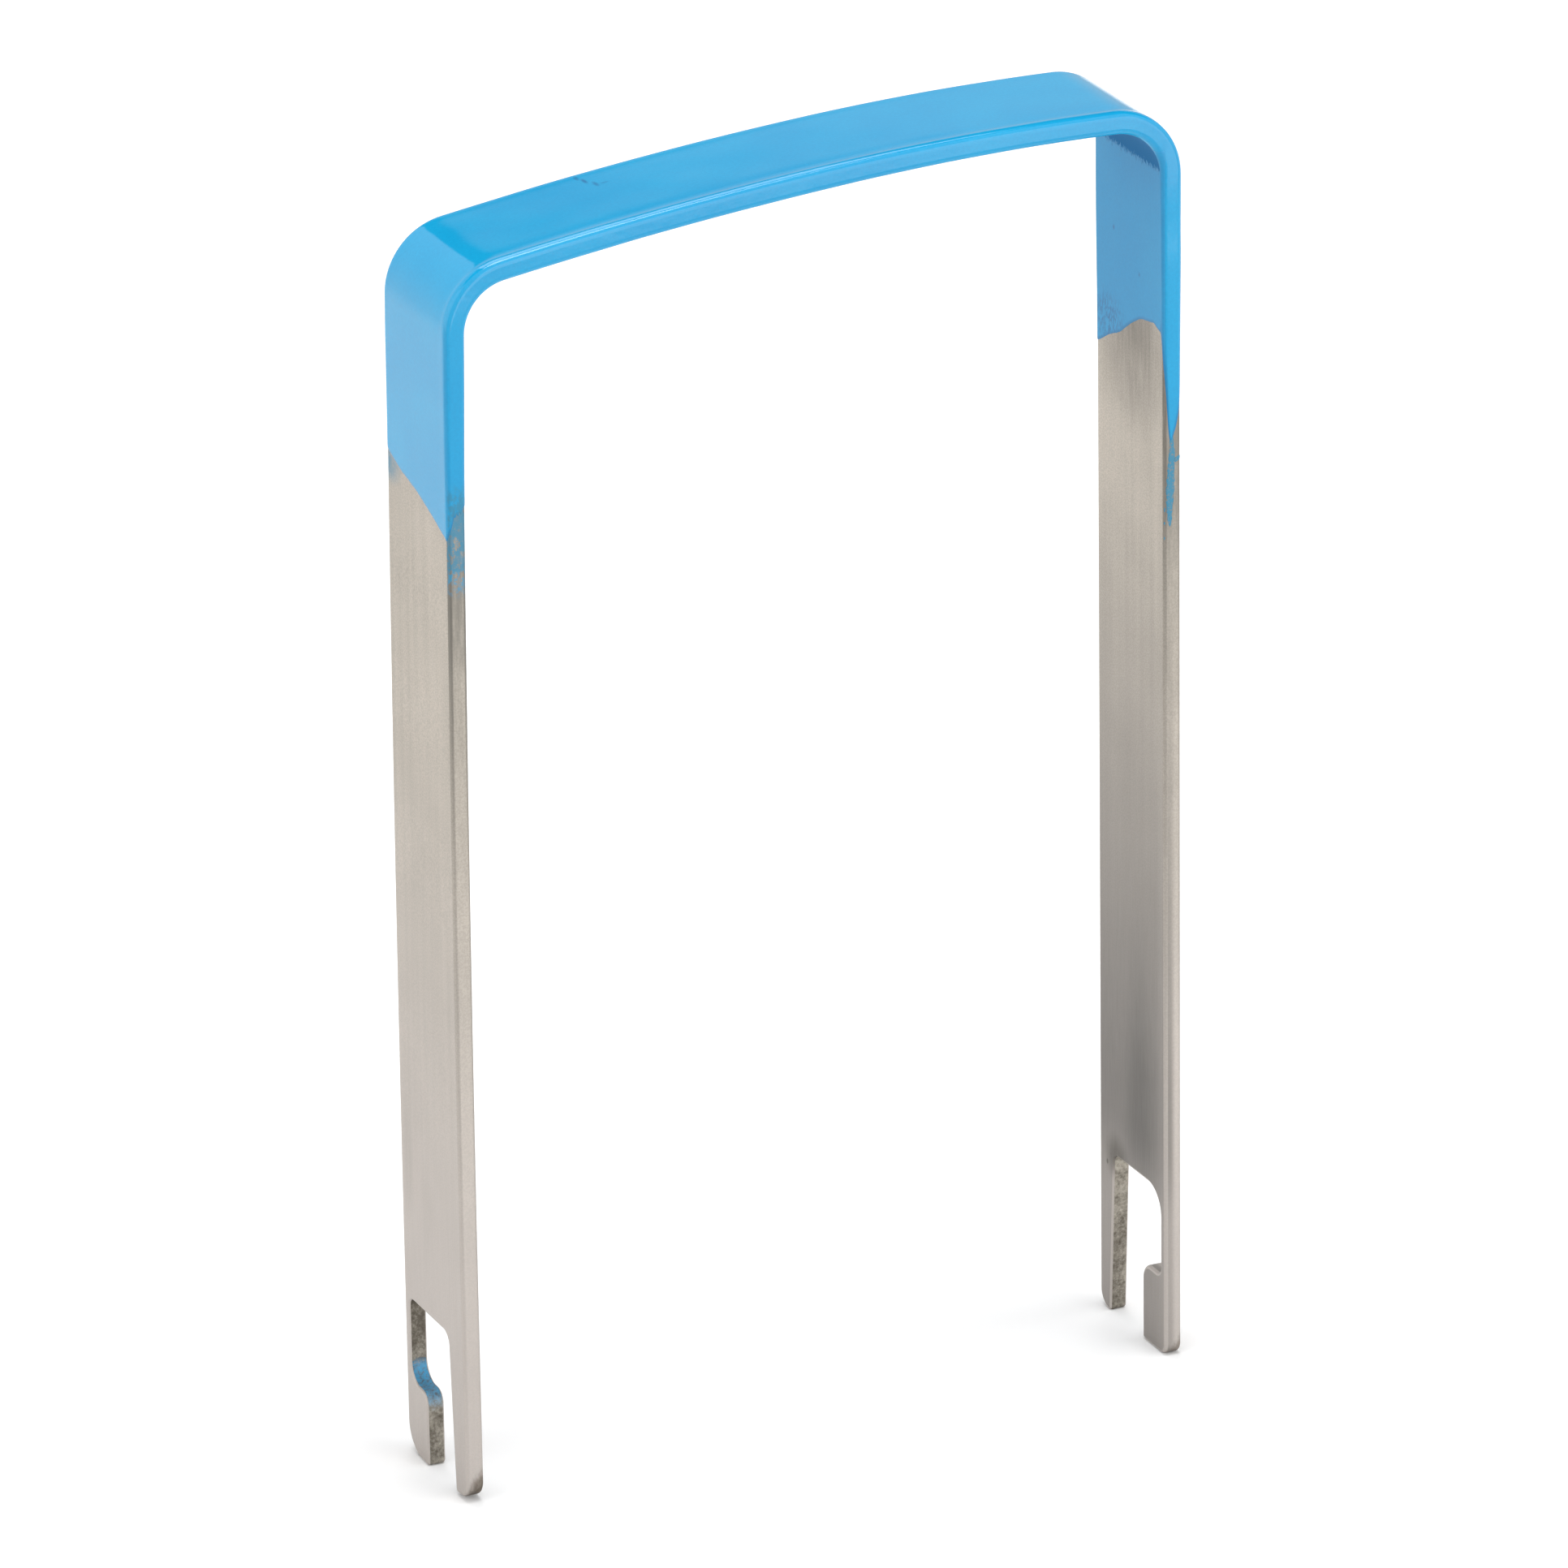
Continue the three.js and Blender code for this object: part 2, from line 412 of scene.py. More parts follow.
def section_samples():
    """Places round the section, close together at the edges and beads."""
    quarter = steps(0, SECTION_EDGE / 2, EDGE_STEPS)
    quarter += steps(SECTION_EDGE / 2, OUTER_START, EDGE_STEPS)
    quarter += steps(OUTER_START, OUTER_START + BEAD_REACH, BEAD_STEPS)
    quarter += steps(OUTER_START + BEAD_REACH, BACK_MIDDLE / 2, FACE_STEPS)
    half = quarter + [BACK_MIDDLE / 2] + [BACK_MIDDLE - w for w in reversed(quarter[1:])]
    return half + [BACK_MIDDLE] + [PERIMETER - w for w in reversed(half[1:])]


def line(points, w, soft):
    """Straight lines through points, softened over soft to each side."""
    total = 0
    offsets = (-soft, -soft / 2, 0, soft / 2, soft)
    for offset in offsets:
        at = (w + offset) % PERIMETER
        looped = [(points[-1][0] - PERIMETER, points[-1][1])] + points
        looped += [(points[0][0] + PERIMETER, points[0][1])]
        (a, va), (b, vb) = next(
            (p, q) for p, q in zip(looped, looped[1:]) if p[0] <= at <= q[0]
        )
        total += va + (vb - va) * (at - a) / (b - a)
    return total / len(offsets)


# How high the coating's lower edge is, round the section of each leg
SHORT_EDGE = [
    (0.0, 89.4),
    (0.12, 88.8),
    (0.24, 89.1),
    (0.36, 88.3),
    (0.5, 87.9),
    (OUTER_START - 0.1, 86.9),
    (OUTER_START + 3.2, 88.25),
    (OUTER_START + 6.3, 89.3),
    (OUTER_START + 9.4, 90.0),
    (OUTER_END, 91.0),
    (BACK_MIDDLE, 91.9),
    (INNER_START, 91.3),
    (INNER_START + 3.5, 90.2),
    (INNER_START + 7.0, 90.6),
    (INNER_START + 10.5, 89.3),
    (INNER_END, 89.8),
    (PERIMETER - 0.5, 89.7),
    (PERIMETER - 0.38, 89.0),
    (PERIMETER - 0.24, 89.5),
    (PERIMETER - 0.12, 88.9),
]
LONG_EDGE = [
    (0.0, 84.9),
    (0.3, 85.8),
    (0.53, 86.8),
    (0.75, 87.9),
    (0.95, 90.3),
    (OUTER_START + 0.5, 94.8),
    (OUTER_START + 4.0, 94.0),
    (OUTER_START + 8.0, 92.2),
    (OUTER_END, 91.0),
    (BACK_MIDDLE, 89.6),
    (INNER_START, 89.9),
    (INNER_START + 2.0, 91.0),
    (INNER_START + 4.1, 91.9),
    (INNER_START + 6.3, 93.4),
    (INNER_START + 8.0, 94.3),
    (INNER_START + 10.4, 94.7),
    (INNER_END - 0.1, 94.2),
    (PERIMETER - 0.85, 91.6),
    (PERIMETER - 0.65, 89.8),
    (PERIMETER - 0.51, 87.7),
    (PERIMETER - 0.42, 85.7),
    (PERIMETER - 0.3, 84.8),
    (PERIMETER - 0.15, 84.5),
]
WAVER = 0.07
WAVER_SCALE = 1.4
SLOPE_STEP = 0.1


def long_edge(w):
    y, n, _, _ = section(w)
    return line(LONG_EDGE, w, soft=0.1) + WAVER * rough((y, n, 0), WAVER_SCALE, seed=3.0)


def short_edge(w):
    y, n, _, _ = section(w)
    return line(SHORT_EDGE, w, soft=0.05) + WAVER * rough((y, n, 0), WAVER_SCALE, seed=11.0)


def slope(edge, w):
    return (edge(w + SLOPE_STEP) - edge(w - SLOPE_STEP)) / (2 * SLOPE_STEP)


def rim_share(distance, reach):
    """Share of the film's thickness at a distance from its edge."""
    d = min(1, max(0, distance / reach))
    return math.sqrt(1 - (1 - d) ** 2)


def film_thickness(w, s):
    """Thickness of the coating at w round the section and s along the strip, but for its rim."""
    y, _, _, nn = section(w)
    x, z, heading = path.at(s)
    inland = min(s - long_edge(w), path.length - short_edge(w) - s)
    share = min(1, max(0, inland / FILM_GROWTH))
    film = RIM_FILM + (FILM - RIM_FILM) * share * share * (3 - 2 * share)
    inset = HALF - abs(y)
    bead = math.exp(-((inset - BEAD_PLACE) / BEAD_WIDTH) ** 2)
    valley = math.exp(-((inset - VALLEY_PLACE) / VALLEY_WIDTH) ** 2)
    height = (BEAD if y < 0 else BACK_BEAD) * (bead - VALLEY_SHARE * valley) * abs(nn)
    height *= LEG_BEAD_SHARE + (1 - LEG_BEAD_SHARE) * abs(math.cos(heading))
    height *= RIM_BEAD_SHARE + (1 - RIM_BEAD_SHARE) * share
    return (film + height) * (1 + FILM_UNEVENNESS * rough((x, y, z), scale=0.25, seed=5.0))


# Rows of points up the coating: across its rims, up the legs, and over both corners and the bridge
RIM_ROWS = (0, 0.03, 0.1, 0.2, 0.35, 0.55, 0.8, 1.0)
LEG_ROWS = 10
CORNER_MARGIN = 4
COAT_BRIDGE_STEP = 1.2
COAT_CORNER_STEP = 0.3


def coat_rows(start, reach_start, end, reach_end, middle):
    """Places along the strip from one lower edge of the coating to the other."""
    rows = [start + reach_start * r for r in RIM_ROWS]
    rows += steps(start + reach_start, middle[0], LEG_ROWS)[1:]
    rows += middle
    rows += steps(middle[-1], end - reach_end, LEG_ROWS)[1:]
    return rows + [end - reach_end * r for r in reversed(RIM_ROWS)]


def make_coating(material):
    """The dipped coat: a closed film. Its rim attribute is 0 at its lower edges, 1 where it has
    its full thickness, and more further up."""
    middle = stations(
        LONG_LEG - CORNER_MARGIN, path.short_leg_start + CORNER_MARGIN,
        COAT_BRIDGE_STEP, COAT_CORNER_STEP,
    )
    outer, inner = [], []
    bm = bmesh.new()
    rim = bm.verts.layers.float.new("rim")
    for w in section_samples():
        start, end = long_edge(w), path.length - short_edge(w)
        reach_start = RIM * math.hypot(1, slope(long_edge, w))
        reach_end = RIM * math.hypot(1, slope(short_edge, w))
        y, n, ny, nn = section(w)
        over, under = [], []
        for s in coat_rows(start, reach_start, end, reach_end, middle):
            share = rim_share(s - start, reach_start) * rim_share(end - s, reach_end)
            t = film_thickness(w, s) * share
            over.append(bm.verts.new(path.bend(y + ny * t, s, n + nn * t)))
            over[-1][rim] = min((s - start) / reach_start, (end - s) / reach_end)
            under.append(bm.verts.new(path.bend(y - ny * FILM_ROOT, s, n - nn * FILM_ROOT)))
        outer.append(over)
        inner.append(under)
    for i, (over, under) in enumerate(zip(outer, inner)):
        over2, under2 = outer[(i + 1) % len(outer)], inner[(i + 1) % len(inner)]
        for k in range(len(over) - 1):
            bm.faces.new((over[k], over[k + 1], over2[k + 1], over2[k]))
            bm.faces.new((under[k], under2[k], under2[k + 1], under[k + 1]))
        for k in (0, -1):
            bm.faces.new((over[k], under[k], under2[k], over2[k]))
    add_piece("dipped_coat", finished_mesh("dipped_coat", bm), [material], "grip_coating")


STREAK_FILM = 0.04
STREAK_STEP = 0.12
STREAK_FEWEST_STEPS = 6
STREAK_ACROSS = 10
STREAK_END_POWER = 0.4
STREAK_END_WIDTH = 0.05
STREAK_WAVER = 0.35
# Runs of paint on the long leg's front edge: places up the leg, with the run's middle and half
# width round the section
STREAKS = {
    "paint_run": [
        (77.0, -0.24, 0.24), (77.3, -0.26, 0.33), (78.5, -0.29, 0.38), (80.5, -0.21, 0.38),
        (82.5, -0.13, 0.34), (83.8, -0.04, 0.3), (85.6, -0.12, 0.3),
    ],
    "paint_spur": [(82.7, 0.25, 0.1), (82.95, 0.45, 0.36), (83.15, 0.58, 0.28), (83.35, 0.7, 0.08)],
    "paint_speck_high": [(78.3, -0.72, 0.03), (78.55, -0.72, 0.07), (78.8, -0.72, 0.03)],
    "paint_speck_middle": [(77.1, -0.74, 0.03), (77.3, -0.74, 0.07), (77.5, -0.74, 0.03)],
    "paint_speck_low": [(75.8, -0.74, 0.02), (76.0, -0.74, 0.06), (76.2, -0.74, 0.02)],
}


def along(points, z):
    """The middle and half width of a run of paint at height z."""
    for a, b in zip(points, points[1:]):
        if z <= b[0]:
            share = (z - a[0]) / (b[0] - a[0])
            return a[1] + (b[1] - a[1]) * share, a[2] + (b[2] - a[2]) * share
    return points[-1][1:]


def make_streak(name, points, material):
    """A low closed blister of paint on the long leg, along one run of points."""
    low, high = points[0][0], points[-1][0]
    count = max(STREAK_FEWEST_STEPS, math.ceil((high - low) / STREAK_STEP))
    bm = bmesh.new()
    rim = bm.verts.layers.float.new("rim")
    over, under = [], []
    for i in range(count + 1):
        z = low + (high - low) * i / count
        middle, half = along(points, z)
        end = math.sin(math.pi * i / count) ** STREAK_END_POWER if 0 < i < count else 0
        half *= 1 + STREAK_WAVER * rough((z, middle, 0), scale=2.3, seed=21.0)
        half *= max(end, STREAK_END_WIDTH)
        top, bottom = [], []
        for k in range(STREAK_ACROSS + 1):
            side = 2 * k / STREAK_ACROSS - 1
            y, n, ny, nn = section(middle + half * side)
            t = STREAK_FILM * math.sqrt(1 - side * side) * end
            top.append(bm.verts.new(path.bend(y + ny * t, z, n + nn * t)))
            top[-1][rim] = 1 - abs(side)
            bottom.append(bm.verts.new(path.bend(y - ny * FILM_ROOT, z, n - nn * FILM_ROOT)))
        over.append(top)
        under.append(bottom)
    for rows, turn in ((over, 1), (under, -1)):
        for a, b in zip(rows, rows[1:]):
            for k in range(STREAK_ACROSS):
                bm.faces.new((a[k], a[k + 1], b[k + 1], b[k])[::turn])
    for k in range(STREAK_ACROSS):
        bm.faces.new((over[0][k + 1], over[0][k], under[0][k], under[0][k + 1]))
        bm.faces.new((over[-1][k], over[-1][k + 1], under[-1][k + 1], under[-1][k]))
    for i in range(count):
        bm.faces.new((over[i][0], over[i + 1][0], under[i + 1][0], under[i][0]))
        bm.faces.new((over[i + 1][-1], over[i][-1], under[i][-1], under[i + 1][-1]))
    add_piece(name, finished_mesh(name, bm), [material], None)


# ---------------------------------------------------------------- shader nodes


class Nodes:
    """Short calls for the nodes of one material or world."""

    def __init__(self, tree):
        self.tree = tree

    def add(self, kind, values=None, **settings):
        made = self.tree.nodes.new("ShaderNode" + kind)
        for name, value in settings.items():
            setattr(made, name, value)
        for key, value in (values or {}).items():
            self.put(made.inputs[key], value)
        return made

    def put(self, socket, value):
        if isinstance(value, bpy.types.NodeSocket):
            self.tree.links.new(value, socket)
        else:
            socket.default_value = value

    def math(self, operation, *values):
        made = self.add("Math", operation=operation)
        for socket, value in zip(made.inputs, values):
            self.put(socket, value)
        return made.outputs[0]

    def fold(self, operation, values):
        """One operation on all the values, from the first to the last."""
        result = values[0]
        for value in values[1:]:
            result = self.math(operation, result, value)
        return result

    def product(self, *values):
        return self.fold("MULTIPLY", values)

    def total(self, *values):
        return self.fold("ADD", values)

    def largest(self, *values):
        return self.fold("MAXIMUM", values)

    def smallest(self, *values):
        return self.fold("MINIMUM", values)

    def less(self, a, b):
        return self.math("SUBTRACT", a, b)

    def range(self, value, low, high, out_low=0.0, out_high=1.0, smooth=True):
        """out_low at low and below, turning to out_high at high and above."""
        made = self.add(
            "MapRange",
            {0: value, 1: low, 2: high, 3: out_low, 4: out_high},
            interpolation_type="SMOOTHSTEP" if smooth else "LINEAR",
        )
        return made.outputs[0]

    def above(self, value, low, high):
        """0 up to low, rising to 1 at high."""
        return self.range(value, low, high)

    def below(self, value, low, high):
        """1 up to low, falling to 0 at high."""
        return self.range(value, low, high, 1.0, 0.0)

    def band(self, value, low, high, soft):
        """1 between low and high, fading to 0 over soft outside them."""
        return self.product(self.above(value, low - soft, low), self.below(value, high, high + soft))

    def stretch(self, vector, scale):
        return self.add("VectorMath", {0: vector, 1: scale}, operation="MULTIPLY").outputs[0]

    def mix(self, share, a, b):
        """The colour a, or b where share is 1, through the Mix node's sockets for colours."""
        made = self.add("Mix", data_type="RGBA")
        self.put(made.inputs[0], share)
        self.put(made.inputs[6], a)
        self.put(made.inputs[7], b)
        return made.outputs[2]


# What differs between the legs changes over within this much of x = 0
LEG_DIVIDE = 1.0


class SurfaceNodes(Nodes):
    """The nodes of one material, which know the place on the object in millimetres."""

    def __init__(self, tree):
        super().__init__(tree)
        self.place = self.stretch(self.add("TexCoord").outputs["Object"], (1 / MM, 1 / MM, 1 / MM))
        self.x, self.y, self.z = self.add("SeparateXYZ", {0: self.place}).outputs
        self.on_short = self.below(self.x, -LEG_DIVIDE, LEG_DIVIDE)
        self.on_long = self.above(self.x, -LEG_DIVIDE, LEG_DIVIDE)

    def noise(self, scale, detail=3.0, roughness=0.5):
        """Noise with so many waves in a millimetre, alike all ways or set along x, y and z."""
        vector = self.place
        if isinstance(scale, tuple):
            vector, scale = self.stretch(vector, scale), 1.0
        made = self.add(
            "TexNoise", {"Vector": vector, "Scale": scale, "Detail": detail, "Roughness": roughness}
        )
        return made.outputs["Fac"]

    def swing(self, noise, size):
        """A noise turned to run round 0, over size."""
        return self.product(self.less(noise, 0.5), size)

    def attribute(self, name):
        """What the mesh holds under a name at each vertex."""
        return self.add("Attribute", attribute_name=name).outputs["Fac"]

    def spot(self, centre, radii):
        """1 at centre, fading to 0 at radii from it."""
        offset = self.add("VectorMath", {0: self.place, 1: centre}, operation="SUBTRACT").outputs[0]
        scaled = self.stretch(offset, tuple(1 / r for r in radii))
        length = self.add("VectorMath", {0: scaled}, operation="LENGTH").outputs["Value"]
        return self.range(length, 1.0, 0.2)

    def bump(self, height, strength, depth):
        """A normal from a height, with its depth in millimetres."""
        made = self.add("Bump", {"Height": height, "Strength": strength, "Distance": depth * MM})
        return made.outputs[0]


def new_material(name):
    material = bpy.data.materials.new(name)
    material.use_nodes = True
    tree = material.node_tree
    tree.nodes.clear()
    nodes = SurfaceNodes(tree)
    shader = nodes.add("BsdfPrincipled")
    output = nodes.add("OutputMaterial")
    tree.links.new(shader.outputs[0], output.inputs[0])
    return material, nodes, shader


# ---------------------------------------------------------------- colours and places of marks

STEEL_LIGHT = (0.55, 0.497, 0.432, 1)
STEEL_DULL = (0.44, 0.398, 0.343, 1)
STEEL_ROSE = (0.48, 0.44, 0.416, 1)
STEEL_GREY = (0.20, 0.188, 0.165, 1)
# Painted shade for the long leg's inner face, standing in for the dim reflection it shows
STEEL_PAINTED_SHADE = (0.13, 0.122, 0.112, 1)
STEEL_SMUDGED = (0.11, 0.10, 0.085, 1)
STEEL_BURNT = (0.11, 0.085, 0.06, 1)
WALL_LIGHT = (0.44, 0.41, 0.35, 1)
WALL_DARK = (0.11, 0.095, 0.075, 1)
PAINT = (0.010, 0.345, 0.625, 1)
PAINT_DEEP = (0.008, 0.317, 0.597, 1)
PAINT_DARK = (0.004, 0.115, 0.29, 1)
RESIDUE = (0.03, 0.2, 0.32, 1)
RESIDUE_BRIGHT = (0.022, 0.25, 0.43, 1)
POCKET_PAINT = (0.02, 0.26, 0.48, 1)
FLOOR_LIGHT = (0.95, 0.95, 0.95, 1)
FLOOR_SHADE = (0.93, 0.93, 0.93, 1)

# The faces turned to the camera: the short leg's outer one and the long leg's inner one
SHORT_FACE = strap_low.x / MM
LONG_FACE = LONG_X - THICKNESS / 2

# Smudges on the steel and scuffs on the paint: centre, radii, strength
SMUDGES = (
    ((LONG_FACE, -0.8, 91.0), (0.6, 9.0, 9.0), 0.5),
    ((LONG_FACE, -1.6, 93.5), (0.6, 4.5, 4.0), 0.35),
    ((LONG_FACE, 2.9, 15.2), (0.9, 3.0, 2.8), 0.95),
    ((LONG_FACE, 4.8, 14.2), (0.5, 0.25, 0.35), 1.3),
    ((SHORT_FACE, 4.8, 28.0), (0.6, 1.5, 8.0), 0.12),
    ((SHORT_FACE, 0.8, 24.0), (0.6, 2.2, 6.0), 0.06),
)
SCUFFS = (
    ((-16.1, 5.3, 112.4), (0.3, 0.7, 1.5), 0.6),
    ((-15.8, 4.3, 112.4), (0.28, 0.9, 1.5), 0.75),
    ((-15.3, 3.1, 112.4), (0.28, 0.9, 1.5), 0.6),
    ((-14.6, 2.9, 112.4), (0.5, 0.3, 1.5), 0.35),
    ((-33.7, 2.6, 101.6), (0.6, 0.22, 0.7), 0.7),
    ((-33.8, -1.2, 97.4), (0.5, 0.15, 0.25), 0.6),
    ((32.0, 2.8, 101.0), (0.6, 0.25, 0.35), 0.8),
    ((32.0, -1.9, 98.2), (0.6, 0.2, 0.3), 0.7),
)


# ---------------------------------------------------------------- steel

# Each pair is a start and an end in millimetres: _ACROSS along y, _HEIGHT along z
FRONT_EDGE_ACROSS = (-6.15, -5.95)
MOST_DARKENED = 0.9

STREAKS_SHARE, CLOUD_SHARE, FINE_SHARE = 0.45, 0.55, 0.5
SPECKLE_STRENGTH = 0.3
ROSE_HEIGHT = (10, 80)
ROSE_STRENGTH = 0.75

DULL_HEIGHT, DULL_STRENGTH = (5, 88), 0.44
DULLER_HEIGHT, DULLER_STRENGTH = (68, 85), 0.5

ROUNDING_DARK_ACROSS = (-5.9, -5.7)
ROUNDING_DARK_HEIGHT = (56, 80)
SHORT_ROUNDING_DARK, LONG_ROUNDING_DARK = 0.6, 0.15

# Painted shade: the long leg's inner face darkens towards the fork, in place of a dim reflection
INNER_SHADE_HEIGHT, INNER_SHADE_STRENGTH = (82, 25), 0.82
INNER_SHADE_MIDDLE = ((LONG_FACE, -1.4, 16.0), (2.0, 3.6, 29.0))
INNER_SHADE_MIDDLE_STRENGTH = 0.15
INNER_SHADE_DEPTH = 0.3
INNER_SHADE_FOOT_HEIGHT, INNER_SHADE_FOOT_SHARE = (11, 20), 0.6
INNER_SHADE_FRONT_ACROSS, INNER_SHADE_FRONT_SHARE = (-5.9, -4.2), 0.8
INNER_SHADE_ROUNDING_SHARE = 0.15

TINT_ACROSS = (-5.2, -4.4)
TINT_DEPTH = (0.08, 0.35)
TINT_RAGGEDNESS = 2.4
TINT_SLANT = 1.1
SHORT_TINT_HEIGHT, SHORT_TINT = (-0.1, 1.9), 0.9
LONG_TINT_HEIGHT, LONG_TINT = (-0.6, 0.6), 0.55

RESIDUE_HEIGHT = (81.5, 91.0)
RESIDUE_FOOT_HEIGHT = (81.5, 83.5)
RESIDUE_BRIGHT_HEIGHT = (83.6, 84.6)  # bright below it
RESIDUE_BACK = ((SHORT_FACE, 6.4, 90.0), (3.0, 4.0, 2.4))
RESIDUE_COVER, RESIDUE_MATTNESS = 0.9, 0.7

LONG_SHELF_DEPTH = (0.55, 0.75)
LONG_SHELF_ACROSS = (-5.7, -1.7)
LONG_SHELF_HEIGHT = (7.0, 8.2)
LONG_SHELF_SOFTNESS, LONG_SHELF_MATTNESS = 0.2, 0.8


def steel_colour(nodes, fine, speckle):
    """Brushed steel, light and dull in streaks along the strip, and rosier towards the forks."""
    streaks = nodes.noise((1.1, 1.1, 0.03), roughness=0.55)
    cloud = nodes.noise(0.12)
    share = nodes.total(
        nodes.product(streaks, STREAKS_SHARE),
        nodes.product(cloud, CLOUD_SHARE),
        nodes.swing(fine, FINE_SHARE),
    )
    colour = nodes.mix(nodes.above(share, 0.25, 0.75), STEEL_DULL, STEEL_LIGHT)
    specks = nodes.range(speckle, 0.38, 0.62, SPECKLE_STRENGTH, 0.0)
    colour = nodes.mix(specks, colour, STEEL_GREY)
    return nodes.mix(nodes.range(nodes.z, *ROSE_HEIGHT, ROSE_STRENGTH, 0.0), colour, STEEL_ROSE)


def front_dullness(nodes, smear):
    """The front edges are duller towards the paint."""
    dull = nodes.product(
        nodes.below(nodes.y, *FRONT_EDGE_ACROSS),
        nodes.total(
            nodes.range(nodes.z, *DULL_HEIGHT, 0.0, DULL_STRENGTH),
            nodes.range(nodes.z, *DULLER_HEIGHT, 0.0, DULLER_STRENGTH),
        ),
        nodes.range(smear, 0.2, 0.75, 0.6, 1.15),
    )
    return nodes.smallest(dull, MOST_DARKENED)


def front_rounding_darkening(nodes, rounding):
    """The front edges' roundings are darker up by the paint, mostly on the short leg."""
    return nodes.product(
        nodes.above(rounding, 0.1, 0.7),
        nodes.below(nodes.y, *ROUNDING_DARK_ACROSS),
        nodes.above(nodes.z, *ROUNDING_DARK_HEIGHT),
        nodes.range(nodes.on_long, 0.0, 1.0, SHORT_ROUNDING_DARK, LONG_ROUNDING_DARK),
    )


def inner_face_painted_shade(nodes, rounding):
    """Painted shade: the long leg's inner face is darker towards the fork, most of all up its
    middle, standing in for the dim reflection that face shows.
    """
    downwards = nodes.range(nodes.z, *INNER_SHADE_HEIGHT, 0.0, INNER_SHADE_STRENGTH, smooth=False)
    middle = nodes.spot(*INNER_SHADE_MIDDLE)
    return nodes.product(
        nodes.on_long,
        nodes.below(nodes.x, LONG_X - INNER_SHADE_DEPTH, LONG_X + INNER_SHADE_DEPTH),
        nodes.total(downwards, nodes.product(middle, INNER_SHADE_MIDDLE_STRENGTH)),
        nodes.range(nodes.z, *INNER_SHADE_FOOT_HEIGHT, INNER_SHADE_FOOT_SHARE, 1.0),
        nodes.range(nodes.y, *INNER_SHADE_FRONT_ACROSS, INNER_SHADE_FRONT_SHARE, 1.0),
        nodes.range(rounding, 0.0, 0.6, 1.0, INNER_SHADE_ROUNDING_SHARE),
    )


def heat_tint(nodes, ragged):
    """Heat tint on the ends of the front tines, behind their faces and darker on the short leg."""
    behind_face = nodes.smallest(
        nodes.math("ABSOLUTE", nodes.less(nodes.x, SHORT_FACE)),
        nodes.math("ABSOLUTE", nodes.less(nodes.x, LONG_FACE)),
    )
    height = nodes.less(
        nodes.total(nodes.z, nodes.swing(ragged, TINT_RAGGEDNESS)),
        nodes.product(behind_face, TINT_SLANT),
    )
    short_tint = nodes.range(height, *SHORT_TINT_HEIGHT, SHORT_TINT, 0.0)
    long_tint = nodes.range(height, *LONG_TINT_HEIGHT, LONG_TINT, 0.0)
    return nodes.product(
        nodes.below(nodes.y, *TINT_ACROSS),
        nodes.above(behind_face, *TINT_DEPTH),
        nodes.largest(
            nodes.product(nodes.on_short, short_tint), nodes.product(nodes.on_long, long_tint)
        ),
    )


def blotches(nodes):
    """The same blotches in the paint that ends on an edge and in what is left of it below."""
    return nodes.noise((1.7, 1.7, 1.3), 6.0, 0.75)


def residue(nodes, ragged):
    """Rubbed-off paint below the coat: on the short leg's front edge, and at the back of its face."""
    blotch = blotches(nodes)
    upwards = nodes.above(nodes.z, *RESIDUE_HEIGHT)
    edge = nodes.product(
        nodes.above(nodes.total(blotch, nodes.product(upwards, 0.17)), 0.47, 0.6),
        nodes.below(nodes.y, *FRONT_EDGE_ACROSS),
        nodes.on_short,
        nodes.above(nodes.z, *RESIDUE_FOOT_HEIGHT),
        nodes.range(ragged, 0.35, 0.6, 0.75, 1.0),
    )
    back = nodes.spot(*RESIDUE_BACK)
    return nodes.largest(edge, nodes.product(back, nodes.range(blotch, 0.3, 0.6, 0.5, 0.9)))


